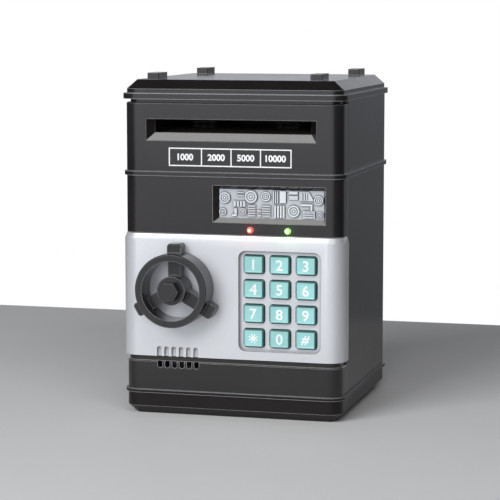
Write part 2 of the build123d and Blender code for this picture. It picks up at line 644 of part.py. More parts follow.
def motor_pinion():
    """Pinion on the motor's shaft, half a tooth out of step with the gear that it faces."""
    turn = 180 - math.degrees(MESH_DROP) + 180 / PINION_TEETH
    pinion = on_x(gear_face(PINION_TEETH, 1.0), GEAR_X0, GEAR_X1, MOTOR_Y, MOTOR_Z, turn)
    return pinion + rod_x(46.4, GEAR_X1, MOTOR_Y, MOTOR_Z, 1.0)


save("feed_motor", feed_motor())
save("motor_pinion", motor_pinion())


def note_guide(z_mouth, z_nip, thickness, lip):
    """Sloping guide plate from the mouth to the rollers, with a turned lip."""
    y0, y1, y2 = -CASE_HALF + MOUTH_DEPTH + 0.3, FEED_Y - 8.0, FEED_Y + 9.0
    outline = Polyline((y0, z_mouth), (y1, z_nip), (y2, z_nip), (y2 + 5, z_nip + lip),
                       (y2 + 5, z_nip + lip + thickness), (y2, z_nip + thickness), (y1, z_nip + thickness),
                       (y0, z_mouth + thickness), close=True)
    solid = extrude(make_face(outline), 2 * CHEEK_X - 4.0)
    plate = Plane(origin=(-CHEEK_X + 2.0, 0, 0), x_dir=(0, 1, 0), z_dir=(1, 0, 0)) * solid
    for x in (-24.0, 24.0):
        plate -= block(x - 6.8, x + 6.8, FEED_Y - 6.9, FEED_Y + 6.9, 140, 175)
    for side in (-1, 1):
        x0, x1 = sorted((side * (CHEEK_X - 3.0), side * (CHEEK_X - 0.02)))
        plate += block(x0, x1, y1, y2 - 13.5, z_nip, z_nip + thickness)
    return plate


save("note_guide_lower", note_guide(152.6, 155.2, 1.4, -1.0))
save("note_guide_upper", note_guide(163.0, 160.2, 1.4, 0.6))


# ---------------------------------------------------------------- door
BACK_PLATE = -51.0            # front face of the door's back cover
DOOR_SCREWS = [(x, z) for x in (-45.4, -0.2) for z in (42.7, 90.3)]
KEY_PLACES = [(PAD_X + column * KEY_PITCH_X, PAD_Z + row * KEY_PITCH_Z)
              for row in (1.5, 0.5, -0.5, -1.5) for column in (-1, 0, 1)]


def door_shape(half, radius, low, high):
    """The wrapped front of the door as a solid prism with a bevelled top."""
    bevel_height, bevel_depth = 3.2, 1.2
    straight = slab(half, radius, low, high - bevel_height)
    cap = taper(half, radius, high - bevel_height, half - bevel_depth, radius - bevel_depth, high)
    return straight + cap


def door_front():
    """Silver front skin: recess for the keys, sound slot ends, hinge lugs and knob bush."""
    door = door_shape(DOOR_HALF, DOOR_CORNER, DOOR_LOW, DOOR_HIGH)
    door -= slab(DOOR_HALF - DOOR_SKIN, DOOR_CORNER - DOOR_SKIN, DOOR_LOW - 1, DOOR_HIGH + 1)
    door &= block(-70, 70, -70, DOOR_SIDE_END, 0, 200)
    inner = DOOR_HALF - DOOR_SKIN - 0.02
    lug_low, lug_high, lug_r = DOOR_LOW + 0.1, DOOR_LOW + 2.8, 4.5
    lug = rod_z(lug_low, lug_high, HINGE_X, HINGE_Y, lug_r)
    lug += block(HINGE_X - lug_r, HINGE_X, HINGE_Y - 8, HINGE_Y, lug_low, lug_high)
    lug += block(HINGE_X, HINGE_X + 8, HINGE_Y - lug_r, HINGE_Y, lug_low, lug_high)
    lugs = lug + Pos(0, 0, DOOR_HIGH - DOOR_LOW - 3.2) * lug
    door += lugs & slab(inner + 0.4, DOOR_CORNER - DOOR_SKIN + 0.4, 0, 200)
    door += panel_y(PAD_X, PAD_Z, PAD_W + 2.4, PAD_H + 2.4, PAD_R + 1.2, -61.0, PAD_FLOOR + 1.4)
    door -= panel_y(PAD_X, PAD_Z, PAD_W, PAD_H, PAD_R, -64.0, PAD_FLOOR)
    for x, z in KEY_PLACES:
        door -= panel_y(x, z, KEY_W + 2.1, KEY_H + 2.1, 2.0, -61, -57)
    door -= sound_slots(-64.0, -60.55)
    door += rod_y(-60.5, -57.6, KNOB_X, KNOB_Z, 6.0)
    door -= rod_y(-70, -50, KNOB_X, KNOB_Z, 3.0 + RUN)
    for x, z in DOOR_SCREWS:
        door += rod_y(-60.5, BACK_PLATE - 0.05, x, z, 2.4)
        door -= rod_y(-59.0, BACK_PLATE + 1, x, z, 1.0)
    door -= rod_z(0, 200, HINGE_X, HINGE_Y, PIN_R + RUN)
    for x in (-44.0, -16.0):
        door += block(x - 3, x + 3, -60.3, -57.5, 60.5, 64.0)
    return door


save("door_front", door_front())


def door_back():
    """Tray that closes the back of the door's works."""
    x0, x1, z0, z1 = -49.5, 51.4, 38.6, 94.4
    tray = block(x0, x1, -59.6, -49.4, z0, z1)
    tray -= block(x0 + 1.4, x1 + 1, -61, BACK_PLATE, z0 + 1.4, z1 - 1.4)
    tray -= block(3.0, 60, -70, -55.6, 30, 100)
    tray -= block(-53, -45, -57.3, -52.7, 59.6, 65.4)
    for x, z in DOOR_SCREWS:
        tray -= rod_y(-52, -48, x, z, 1.15)
        tray -= rod_y(-50.6, -48, x, z, 2.1)
    return tray


save("door_back", door_back())
save("door_screws", group([screw_y(x, z, -49.3, 5.0, shank=0.95, head=1.9) for x, z in DOOR_SCREWS]))


# ---------------------------------------------------------------- keypad
def key(x, z):
    """Moulded key: a softly tapered cap on a retaining flange."""
    foot = Plane.XZ.offset(-(PAD_FLOOR + 0.2)) * Pos(x, z) * RectangleRounded(KEY_W + 1.3, KEY_H + 1.3, 1.6)
    face = Plane.XZ.offset(-(KEY_FACE + 0.5)) * Pos(x, z) * RectangleRounded(KEY_W + 0.1, KEY_H + 0.1, 1.1)
    crown = Plane.XZ.offset(-KEY_FACE) * Pos(x, z) * RectangleRounded(KEY_W - 0.9, KEY_H - 0.9, 0.7)
    cap = loft([foot, face], ruled=True) + loft([face, crown], ruled=True)
    cap += panel_y(x, z, KEY_W + 1.3, KEY_H + 1.3, 1.6, PAD_FLOOR + 0.2, -57.9)
    return cap + panel_y(x, z, KEY_W + 3.2, KEY_H + 3.2, 1.6, -57.95, -57.2)


KEY_NAMES = ("1", "2", "3", "4", "5", "6", "7", "8", "9", "star", "0", "hash")
for name, place in zip(KEY_NAMES, KEY_PLACES):
    save("key_" + name, key(*place))


def keypad_membrane():
    """Rubber sheet with a dome under each key."""
    sheet = block(5.0, 49.4, -54.9, -54.2, 40.3, 90.2)
    for x, z in KEY_PLACES:
        sheet += rod_y(-55.7, -54.8, x, z, 2.2)
    return sheet


save("keypad_membrane", keypad_membrane())
save("keypad_board", block(4.6, 49.8, -54.15, -52.9, 40.2, 92.4))


# ---------------------------------------------------------------- knob, bolt and lock
def knob_wheel():
    """Deep handwheel: rim, hub, three spokes and three lugs outside the rim."""
    rim = rod_y(KNOB_FRONT, KNOB_BACK, KNOB_X, KNOB_Z, KNOB_R)
    rim = chamfer(rim.edges().sort_by(Axis.Y)[0], 0.5)
    bore = rod_y(KNOB_FRONT - 1, KNOB_BACK + 1, KNOB_X, KNOB_Z, KNOB_INNER)
    wheel = rim - bore
    wheel += rod_y(KNOB_FRONT + 1.1, KNOB_BACK, KNOB_X, KNOB_Z, 7.8)
    spoke_front, lug_front = KNOB_FRONT + 7.6, KNOB_FRONT + 6.9
    for angle in (0, 120, 240):
        spoke = block(-3.55, 3.55, spoke_front, KNOB_BACK, 6.5, KNOB_R - 2)
        lug = block(-3.85, 3.85, lug_front, KNOB_BACK, KNOB_R - 1.5, 24.9)
        lug_ends = lug.edges().filter_by(Axis.Y).group_by(Axis.Z)[-1]
        lug = chamfer(lug_ends, 1.1)
        front_edges = lug.edges().group_by(Axis.Y)[0]
        lug = chamfer(front_edges.filter_by_position(Axis.Z, 22, 30), 0.5)
        wheel += Pos(KNOB_X, 0, KNOB_Z) * Rot(0, angle, 0) * (spoke + lug)
    wheel -= rod_y(KNOB_FRONT - 9, KNOB_BACK + 1, KNOB_X, KNOB_Z, 2.0)
    return wheel


save("knob_wheel", knob_wheel())


def knob_cap():
    """Hexagonal cap that closes the hub over the knob's screw."""
    hexagon = Plane.XZ.offset(-(KNOB_FRONT + 1.1)) * Pos(KNOB_X, KNOB_Z) * RegularPolygon(5.75, 6)
    cap = extrude(hexagon, 4.7)
    return chamfer(cap.edges().group_by(Axis.Y)[0], 0.35)


save("knob_cap", knob_cap())

RACK_PINION_TEETH = 10
BOLT_Z = KNOB_Z - RACK_PINION_TEETH / 2        # the rack's pitch line
PINION_Y0, PINION_Y1 = -57.2, -53.2


def knob_spindle():
    """Spindle through the door with the pinion that drives the bolt."""
    spindle = rod_y(KNOB_BACK + 0.02, -52.2, KNOB_X, KNOB_Z, 3.0)
    spindle += rod_y(-74.0, KNOB_BACK + 0.1, KNOB_X, KNOB_Z, 2.0)
    outline = Rot(0, 0, 90 + 180 / RACK_PINION_TEETH) * gear_face(RACK_PINION_TEETH, 1.0)
    teeth = extrude(outline, PINION_Y1 - PINION_Y0)
    place = Plane(origin=(KNOB_X, PINION_Y0, KNOB_Z), x_dir=(-1, 0, 0), z_dir=(0, 1, 0))
    return spindle + place * teeth


save("knob_spindle", knob_spindle())

BOLT_TIP, BOLT_TAIL = -48.9, -12.0
BOLT_THROW = RACK_PINION_TEETH / 2 * math.pi / 2
PLUNGER_X, PLUNGER_RISE = -35.5, 1.8


def latch_bolt():
    """Flat bolt with a rack on top and a ramped notch beneath for the lock plunger."""
    low, top = 60.0, BOLT_Z - 1.2
    bolt = block(BOLT_TIP, BOLT_TAIL, PINION_Y0, PINION_Y1, low, top)
    half_root, half_tip = 0.29 * math.pi, 0.11 * math.pi
    for n in range(-2, 5):
        x = KNOB_X + n * math.pi
        foot, crest = top - 0.1, BOLT_Z + 0.8
        tooth = Polyline((x - half_root, foot), (x - half_tip, crest), (x + half_tip, crest),
                         (x + half_root, foot), close=True)
        face = Plane(origin=(0, PINION_Y0, 0), x_dir=(1, 0, 0), z_dir=(0, -1, 0)) * make_face(tooth)
        bolt += extrude(face, PINION_Y0 - PINION_Y1)
    slope = PLUNGER_RISE / BOLT_THROW
    x0, x1 = PLUNGER_X - 2.4, PLUNGER_X + BOLT_THROW + 2.6
    notch = Polyline((x0, low - 1), (x0, low), (x1, low + slope * (x1 - x0)), (x1, low - 1), close=True)
    face = Plane(origin=(0, PINION_Y0, 0), x_dir=(1, 0, 0), z_dir=(0, -1, 0)) * make_face(notch)
    bolt -= extrude(face, PINION_Y0 - PINION_Y1, both=True)
    return bolt


save("latch_bolt", latch_bolt())


def bolt_guide():
    """Channel behind the bolt that keeps it against the door's skin."""
    guide = block(-48.0, -11.0, -52.85, -51.6, 54.6, 64.6)
    for x0, x1 in ((-48.0, PLUNGER_X - 3.7), (PLUNGER_X + 3.7, -11.0)):
        guide += block(x0, x1, -57.0, -52.7, 57.9, 59.7)
    return guide


save("bolt_guide", bolt_guide())


def lock_coil():
    """Electromagnet on a bent bracket, below the plunger."""
    coil = rod_z(42.2, 53.0, PLUNGER_X, -55.4, 4.0)
    coil -= rod_z(41, 54, PLUNGER_X, -55.4, 1.3 + RUN)
    bracket = block(PLUNGER_X - 4.6, PLUNGER_X + 4.6, -59.9, -59.2, 40.6, 54.2)
    for z in (40.6, 53.2):
        plate = block(PLUNGER_X - 4.6, PLUNGER_X + 4.6, -59.9, -52.0, z, z + 1.0)
        bracket += plate - rod_z(40, 60, PLUNGER_X, -55.4, 1.3 + RUN)
    return coil + bracket


save("lock_coil", lock_coil())


def lock_plunger():
    """Steel plunger with a slanted nose that follows the bolt's ramp."""
    nose = block(PLUNGER_X - 2.0, PLUNGER_X + 2.0, -57.0, -53.4, 55.0, 62.0)
    slope = PLUNGER_RISE / BOLT_THROW
    x0, x1 = PLUNGER_X - 3.0, PLUNGER_X + 3.0
    base = 60.0 - GAP + slope * 2.4
    cut = Polyline((x0, base - slope * 3.0), (x1, base + slope * 3.0), (x1, 70), (x0, 70), close=True)
    face = Plane(origin=(0, -58, 0), x_dir=(1, 0, 0), z_dir=(0, -1, 0)) * make_face(cut)
    nose -= extrude(face, -6)
    return nose + rod_z(43.0, 55.1, PLUNGER_X, -55.4, 1.3)


save("lock_plunger", lock_plunger())
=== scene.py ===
import math

import bmesh
import bpy
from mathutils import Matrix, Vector


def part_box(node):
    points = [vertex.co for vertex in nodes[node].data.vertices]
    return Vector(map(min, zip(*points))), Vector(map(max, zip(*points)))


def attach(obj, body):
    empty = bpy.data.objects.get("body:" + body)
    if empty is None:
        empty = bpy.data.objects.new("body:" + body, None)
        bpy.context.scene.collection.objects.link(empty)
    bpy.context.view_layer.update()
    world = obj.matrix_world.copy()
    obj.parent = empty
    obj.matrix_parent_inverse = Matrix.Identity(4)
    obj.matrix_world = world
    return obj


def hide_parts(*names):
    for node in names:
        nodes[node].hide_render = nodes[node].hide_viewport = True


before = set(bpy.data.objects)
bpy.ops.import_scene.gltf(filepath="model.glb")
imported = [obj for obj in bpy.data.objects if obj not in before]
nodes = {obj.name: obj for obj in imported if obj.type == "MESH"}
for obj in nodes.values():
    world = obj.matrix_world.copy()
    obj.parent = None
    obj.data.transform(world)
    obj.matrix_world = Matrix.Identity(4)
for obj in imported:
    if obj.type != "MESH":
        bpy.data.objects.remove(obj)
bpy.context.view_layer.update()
MM = 0.001
bpy.ops.object.select_all(action="DESELECT")


# ---------------------------------------------------------------- case mouldings
# The case is injection moulded ABS: a base tray, a middle front frame and rear shell, a deck whose
# edge is a rib, a note fascia with its own rear shell, and a bevelled lid.  The parts clip over
# inner lips and are held by screws from below.  The plastic is black and polished on the outside,
# and a little duller on the base tray.
class Wire:
    """A shader output that can be used in sums: each operator adds a Math node."""

    tree = None                       # node tree of the finish that is being made

    def __init__(self, output):
        self.output = output

    @classmethod
    def node(cls, kind, settings=None, inputs=None, output=0):
        """Add any node: its settings first, then the values or links of its inputs."""
        made = cls.tree.nodes.new(kind)
        for name, value in (settings or {}).items():
            if name == "stops":
                ramp = made.color_ramp.elements
                while len(ramp) < len(value):
                    ramp.new(0.5)
                for element, (position, grey) in zip(ramp, value):
                    element.position = position
                    element.color = (grey, grey, grey, 1)
            else:
                setattr(made, name, value)
        for name, value in (inputs or {}).items():
            if isinstance(value, cls):
                cls.tree.links.new(value.output, made.inputs[name])
            else:
                made.inputs[name].default_value = value
        return cls(made.outputs[output])

    @staticmethod
    def math(operation, first, second):
        """Add a Math node on two values or wires."""
        return Wire.node("ShaderNodeMath", {"operation": operation}, {0: first, 1: second})

    def __add__(self, other):
        return self.math("ADD", self, other)

    def __sub__(self, other):
        return self.math("SUBTRACT", self, other)

    def __mul__(self, other):
        return self.math("MULTIPLY", self, other)

    def __rsub__(self, other):
        return self.math("SUBTRACT", other, self)

    __radd__ = __add__
    __rmul__ = __mul__


def place():
    """Object coordinates, in metres."""
    return Wire.node("ShaderNodeTexCoord", output="Object")


def speckle(size, detail=2.0, roughness=0.5, where=None):
    """Soft noise from 0 to 1 whose blotches are about this size in metres."""
    inputs = {"Vector": where or place(), "Scale": 1 / size,
              "Detail": detail, "Roughness": roughness}
    return Wire.node("ShaderNodeTexNoise", inputs=inputs)


def ramp(value, *stops):
    """Remap a value through grey stops of (position, level)."""
    return Wire.node("ShaderNodeValToRGB", {"stops": stops}, {0: value})


def blend_colour(factor, first, second):
    """Mix two colours by a factor."""
    inputs = {0: factor, 6: first, 7: second}
    return Wire.node("ShaderNodeMix", {"data_type": "RGBA"}, inputs, output=2)


def edges(reach):
    """Close to 1 on corners and 0 on flats; it masks the painted edge highlight."""
    rounded = Wire.node("ShaderNodeBevel", {"samples": 6}, {"Radius": reach})
    flat = Wire.node("ShaderNodeNewGeometry", output="Normal")
    agree = Wire.node("ShaderNodeVectorMath", {"operation": "DOT_PRODUCT"},
                      {0: rounded, 1: flat}, "Value")
    return ramp(1 - agree, (0.006, 0.0), (0.09, 1.0))


def grain(height, depth):
    """Turn a height pattern into surface relief of this depth in metres."""
    return Wire.node("ShaderNodeBump", inputs={"Strength": 1.0, "Distance": depth, "Height": height})


def finish(fixed, varied):
    """Make a material: fixed values sit on the shader's own sockets, varied ones are linked."""
    shader = Wire.tree.nodes["Principled BSDF"]
    for socket, value in fixed.items():
        shader.inputs[socket].default_value = value
    for socket, wire in varied.items():
        Wire.tree.links.new(wire.output, shader.inputs[socket])


def new_material(name):
    """Start a material and make it the one that Wire adds to."""
    material = bpy.data.materials.new(name)
    material.use_nodes = True
    Wire.tree = material.node_tree
    return material


def moulded(name, colour, painted_highlight, roughness, spread, grain_size, grain_depth, fixed=None):
    """Moulded plastic: cloudy colour, polished edges painted paler as a highlight, smudges and a fine
    grain.
    """
    material = new_material(name)
    cloud = speckle(0.03, 3.0)
    painted_highlight_edges = edges(0.0006)
    smudge = speckle(0.012, 4.0, 0.6)
    tint = blend_colour(ramp(cloud, (0.3, 0.0), (0.7, 1.0)), [c * 0.88 for c in colour] + [1],
                        [c * 1.12 for c in colour] + [1])
    # Painted highlight: edges are painted in a paler colour.
    tint = blend_colour(painted_highlight_edges * 0.8, tint, [*painted_highlight, 1])
    varied = {
        "Base Color": tint,
        "Roughness": roughness - spread / 2 + spread * smudge - 0.06 * painted_highlight_edges,
        "Normal": grain(speckle(grain_size, 2.0), grain_depth),
    }
    finish(fixed or {}, varied)
    return material


def coat(material, *names):
    """Give CAD nodes this material."""
    for name in names:
        mesh = nodes[name].data
        mesh.materials.clear()
        mesh.materials.append(material)


WELD_REACH = 1e-6                     # metres: CAD meshes come as loose triangles


def soften(width, *names, angle=32):
    """Round the moulded edges of CAD nodes by this width in metres."""
    for name in names:
        weld = nodes[name].modifiers.new("weld", "WELD")
        weld.merge_threshold = WELD_REACH
        bevel = nodes[name].modifiers.new("rounded edges", "BEVEL")
        bevel.width = width
        bevel.segments = 3
        bevel.limit_method = "ANGLE"
        bevel.angle_limit = math.radians(angle)
        nodes[name].data.polygons.foreach_set("use_smooth", [True] * len(nodes[name].data.polygons))
        nodes[name].modifiers.new("flat faces stay flat", "WEIGHTED_NORMAL").weight = 100


# The second colour is a paler one, painted on edges as a highlight.
BLACK, PAINTED_EDGE_HIGHLIGHT = (0.0145, 0.0125, 0.0122), (0.42, 0.42, 0.43)
POLISH, POLISH_SPREAD = 0.2, 0.08     # roughness and how much smudges vary it
CASE_GRAIN = (0.0007, 0.00001)        # size and depth in metres
case_black = moulded("polished_black", BLACK, PAINTED_EDGE_HIGHLIGHT, POLISH, POLISH_SPREAD, *CASE_GRAIN)
coat(case_black, "rear_shell", "mid_deck", "upper_rear_shell", "lid", "battery_cover")

BASE_BLACK, BASE_ROUGHNESS = (0.011, 0.0085, 0.008), 0.3
base_black = moulded("satin_base_black", BASE_BLACK, PAINTED_EDGE_HIGHLIGHT, BASE_ROUGHNESS, POLISH_SPREAD,
                     *CASE_GRAIN, {"Specular IOR Level": 0.2})
coat(base_black, "base_tray")


def split(vector, axis):
    """One component of a vector."""
    return Wire.node("ShaderNodeSeparateXYZ", inputs={0: vector}, output=axis)


def own_normal():
    """The surface's direction in the piece's own axes, so that it turns with the piece."""
    return Wire.node("ShaderNodeTexCoord", output="Normal")


def frontal():
    """1 on faces that look towards the piece's front, 0 on its flanks."""
    return 0 - split(own_normal(), 1)


def between(value, low, high):
    """1 where a value lies between two limits."""
    return Wire.math("GREATER_THAN", value, low) * Wire.math("LESS_THAN", value, high)


RECESS_DEPTHS = (0.15 * MM, 4.6 * MM)       # behind the front face
RECESS_HALF_WIDTH = 53.5 * MM
RECESS_HEIGHTS = (100 * MM, 170 * MM)
SILL_SLOPES = (0.35, 0.97)            # upward part of the surface's direction


def framed_black(name, front_y):
    """Case plastic: near black painted shade in splayed recesses, grey painted light on rough sloping
    sills.
    """
    material = moulded(name, BLACK, PAINTED_EDGE_HIGHLIGHT, POLISH, POLISH_SPREAD, *CASE_GRAIN)
    recess = between(split(place(), 1), front_y + RECESS_DEPTHS[0], front_y + RECESS_DEPTHS[1])
    recess = recess * between(split(place(), 0), -RECESS_HALF_WIDTH, RECESS_HALF_WIDTH)
    recess = recess * between(split(place(), 2), *RECESS_HEIGHTS)
    sill = recess * between(split(own_normal(), 2), *SILL_SLOPES)
    shader = Wire.tree.nodes["Principled BSDF"]
    plain = Wire(shader.inputs["Base Color"].links[0].from_socket)
    satin = Wire(shader.inputs["Roughness"].links[0].from_socket)
    # Painted light: the upward sloping sills are painted pale grey.
    painted_sill_light = blend_colour(speckle(0.002, 4.0), (0.26, 0.255, 0.245, 1), (0.32, 0.315, 0.305, 1))
    # Painted shade: the recesses are darkened towards black.
    painted_recess_shade = blend_colour(recess * 0.75, plain, (0.006, 0.004, 0.004, 1))
    finish({}, {
        "Base Color": blend_colour(sill, painted_recess_shade, painted_sill_light),
        "Roughness": satin + sill * (0.6 - satin),
    })
    return material


coat(framed_black("polished_black_fascia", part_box("upper_front")[0].y), "upper_front")
coat(framed_black("polished_black_frame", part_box("front_frame")[0].y), "front_frame")
soften(0.3 * MM, "base_tray", "mid_deck", "lid")
soften(0.25 * MM, "front_frame", "upper_front", "rear_shell", "upper_rear_shell", "battery_cover")


# ---------------------------------------------------------------- parts inside the case
# Unpolished black mouldings carry the works: cash floor, coin duct, feeder side plates, note
# guides, battery box, hinge guard, the door's back tray and the bolt's channel.  They keep the
# mould's spark-eroded grain and are screwed or clipped in.
inner_black = moulded("grained_black", (0.034, 0.024, 0.021), (0.06, 0.06, 0.06), 0.55, 0.14,
                      0.0004, 0.00003)
INNER_MOULDINGS = ("cash_floor", "coin_chute", "feeder_frame", "note_guide_lower", "note_guide_upper",
                   "battery_box", "hinge_jamb", "door_back", "bolt_guide")
coat(inner_black, *INNER_MOULDINGS)
soften(0.2 * MM, *INNER_MOULDINGS)


# ---------------------------------------------------------------- screws, pins, plates and springs
# Screws, hinge pins, the strike plate, the bolt, its plunger, the knob's spindle and the idler's
# shaft are zinc plated steel: brushed by tumbling, with a faint yellow bloom and darker rubbed tracks.
def plated(name, colour, bloom, roughness):
    """Plated steel: streaks, a coloured bloom and fine scratches."""
    material = new_material(name)
    streak_place = Wire.node("ShaderNodeMapping", inputs={"Vector": place(), "Scale": (1.0, 1.0, 12.0)})
    streaks = speckle(0.004, 6.0, 0.7, streak_place)
    patches = speckle(0.006, 3.0)
    tint = blend_colour(ramp(patches, (0.35, 0.0), (0.75, 1.0)), [*colour, 1], [*bloom, 1])
    varied = {
        "Base Color": tint,
        "Roughness": roughness - 0.1 + 0.22 * streaks,
        "Normal": grain(streaks, 0.00001),
    }
    finish({"Metallic": 1.0}, varied)
    return material


zinc = plated("zinc_plate", (0.58, 0.58, 0.57), (0.55, 0.52, 0.45), 0.32)
ZINC_PARTS = ("case_screws", "lid_screws", "door_screws", "board_screws", "battery_cover_screw",
              "hinge_pins", "strike_plate", "latch_bolt", "lock_plunger", "knob_spindle", "idler_shaft")
coat(zinc, *ZINC_PARTS)
soften(0.12 * MM, *ZINC_PARTS)

# The battery contacts and their coil springs are nickel plated spring steel, brighter and
# slightly warm; the motor's can is the same plate, drawn from sheet.
nickel = plated("nickel_plate", (0.66, 0.63, 0.58), (0.6, 0.56, 0.48), 0.24)
coat(nickel, "battery_springs", "battery_plates", "feed_motor")
soften(0.15 * MM, "battery_plates", "feed_motor")


# ---------------------------------------------------------------- note feeder
# Two shafts carry pairs of grooved rubber rollers.  The driven shaft, its gear and the motor's
# pinion are moulded in white acetal, which stays slightly waxy; the rubber is dull and dusty.
acetal = moulded("white_acetal", (0.74, 0.73, 0.69), (0.8, 0.8, 0.78), 0.42, 0.12, 0.0005, 0.00001,
                 {"Subsurface Weight": 0.08, "Subsurface Radius": (0.002, 0.002, 0.0015)})
coat(acetal, "drive_shaft", "motor_pinion")
soften(0.12 * MM, "drive_shaft", "motor_pinion")


def rubber(name, colour, dust, roughness):
    """Moulded rubber with dust in its surface."""
    material = new_material(name)
    dusty = ramp(speckle(0.002, 5.0, 0.7), (0.45, 0.0), (0.75, 1.0))
    varied = {
        "Base Color": blend_colour(dusty * 0.5, [*colour, 1], [*dust, 1]),
        "Roughness": roughness + 0.12 * dusty,
        "Normal": grain(speckle(0.0003, 3.0), 0.00003),
    }
    finish({"Specular IOR Level": 0.35}, varied)
    return material


roller_rubber = rubber("roller_rubber", (0.035, 0.035, 0.036), (0.11, 0.11, 0.11), 0.75)
coat(roller_rubber, "drive_rollers", "idler_rollers")
soften(0.2 * MM, "drive_rollers", "idler_rollers")
coat(rubber("grey_silicone", (0.36, 0.37, 0.37), (0.45, 0.45, 0.45), 0.6), "keypad_membrane")
soften(0.2 * MM, "keypad_membrane")


# ---------------------------------------------------------------- circuit boards
# The control, lamp and keypad boards are fibreglass laminate under green lacquer: copper tracks
# show as a paler pattern below it.  Chips, connectors and capacitors are soldered beneath.
def circuit_board(name):
    """Green lacquered laminate with tracks under a woven grain."""
    material = new_material(name)
    here = Wire.node("ShaderNodeMapping", inputs={"Vector": place(), "Scale": (420.0, 420.0, 420.0)})
    tracks = {"Vector": here, "Scale": 0.8, "Mortar Size": 0.12, "Color1": (0, 0, 0, 1),
              "Color2": (0, 0, 0, 1), "Mortar": (1, 1, 1, 1)}
    cells = Wire.node("ShaderNodeTexBrick", inputs=tracks)
    cloth = speckle(0.0008, 2.0)
    tint = blend_colour(cells, (0.012, 0.085, 0.035, 1), (0.03, 0.2, 0.075, 1))
    varied = {
        "Base Color": blend_colour(cloth * 0.25, tint, (0.02, 0.1, 0.06, 1)),
        "Roughness": 0.25 + 0.2 * cloth,
        "Normal": grain(cells, 0.00003),
    }
    finish({}, varied)
    return material


board_green = circuit_board("green_lacquer")
coat(board_green, "main_board", "led_board", "keypad_board")
chip_black = moulded("epoxy_black", (0.018, 0.018, 0.02), (0.05, 0.05, 0.05), 0.5, 0.1, 0.0003, 0.00002)
coat(chip_black, "board_parts", "speaker")
soften(0.15 * MM, "board_parts", "speaker")

# The lock's electromagnet is wound with enamelled copper wire, whose turns lie side by side.
winding = new_material("enamelled_copper")
turns = Wire.node("ShaderNodeTexWave", {"bands_direction": "Z"}, {"Vector": place(), "Scale": 700.0})
finish({"Metallic": 0.9}, {
    "Base Color": blend_colour(turns, (0.16, 0.05, 0.02, 1), (0.52, 0.22, 0.1, 1)),
    "Roughness": 0.3 + 0.15 * speckle(0.002),
    "Normal": grain(turns, 0.0001),
})
coat(winding, "lock_coil")


# ---------------------------------------------------------------- window plate and indicator lamps
# Behind the window stands a relief plate with moulded dials, louvres and pipes, vacuum silvered
# and lacquered.  Its hollows are darkened as painted shade and its raised faces are painted paler
# than its base plate as painted light.  Two clear tinted 3 mm lamps shine below it.
relief = new_material("silvered_relief")
# Painted shade: the hollows are darkened in the colour by an occlusion mask.
hollow = Wire.node("ShaderNodeAmbientOcclusion", {"samples": 8, "only_local": True},
                   {"Distance": 0.0013}, output="AO")
shade = ramp(hollow, (0.5, 0.0), (0.98, 1.0))
relief_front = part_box("relief_panel")[0].y
PER_RELIEF_DEPTH = 400.0              # 1 / 2.5 mm
# Painted light: faces nearer the front are painted paler than the base plate.
raised = ramp((split(place(), 1) - relief_front) * PER_RELIEF_DEPTH, (0.1, 1.0), (0.75, 0.0))
cloud = speckle(0.006, 4.0)
plate_tint = blend_colour(cloud, (0.30, 0.32, 0.345, 1), (0.41, 0.43, 0.455, 1))
plate_tint = blend_colour(raised, plate_tint, (0.66, 0.68, 0.71, 1))
finish({"Metallic": 0.35}, {
    "Base Color": blend_colour(shade, (0.05, 0.055, 0.065, 1), plate_tint),
    "Roughness": 0.30 + 0.12 * cloud,
    "Normal": grain(speckle(0.0005, 2.0), 0.00001),
})
coat(relief, "relief_panel")
soften(0.09 * MM, "relief_panel")


LAMP_STRENGTH = 2.4


def lamp_lens(name, colour, glow, heart):
    """Tinted lens whose heart is almost white and whose rim keeps the full colour."""
    material = new_material(name)
    swirl = speckle(0.0006, 2.0)
    middle = ramp(frontal(), (0.6, 0.0), (0.98, 1.0))
    finish({"Emission Strength": LAMP_STRENGTH, "Coat Weight": 0.6, "Coat Roughness": 0.05}, {
        "Base Color": blend_colour(swirl, [*colour, 1], [c * 0.8 for c in colour] + [1]),
        "Roughness": 0.12 + 0.06 * swirl,
        "Emission Color": blend_colour(middle, [*glow, 1], [*heart, 1]),
    })
    return material


RED_GLOW, GREEN_GLOW = (1.0, 0.12, 0.05), (0.34, 1.0, 0.10)
coat(lamp_lens("red_lamp", (0.9, 0.05, 0.02), (1.0, 0.05, 0.03), (1.0, 0.55, 0.38)), "led_red")
coat(lamp_lens("green_lamp", (0.25, 0.85, 0.08), (0.2, 0.85, 0.06), (0.85, 1.0, 0.6)), "led_green")


# ---------------------------------------------------------------- door skin
# The door is one silver moulding that wraps round both front corners.  The colour is aluminium
# flake in the plastic under a thin satin lacquer; its edges are painted paler as a highlight and
# its corners are painted darker as shade.
silver = new_material("silver_flake")
flake = Wire.node("ShaderNodeTexVoronoi", {"feature": "F1"},
                  {"Vector": place(), "Scale": 5200.0}, "Color")
tilt = Wire.node("ShaderNodeSeparateColor", inputs={0: flake})
cloud = speckle(0.02, 3.0)
painted_highlight_edges = edges(0.0005)
tint = blend_colour(cloud, (0.55, 0.56, 0.58, 1), (0.59, 0.60, 0.62, 1))
tint = blend_colour(tilt * 0.22, tint, (0.80, 0.81, 0.83, 1))
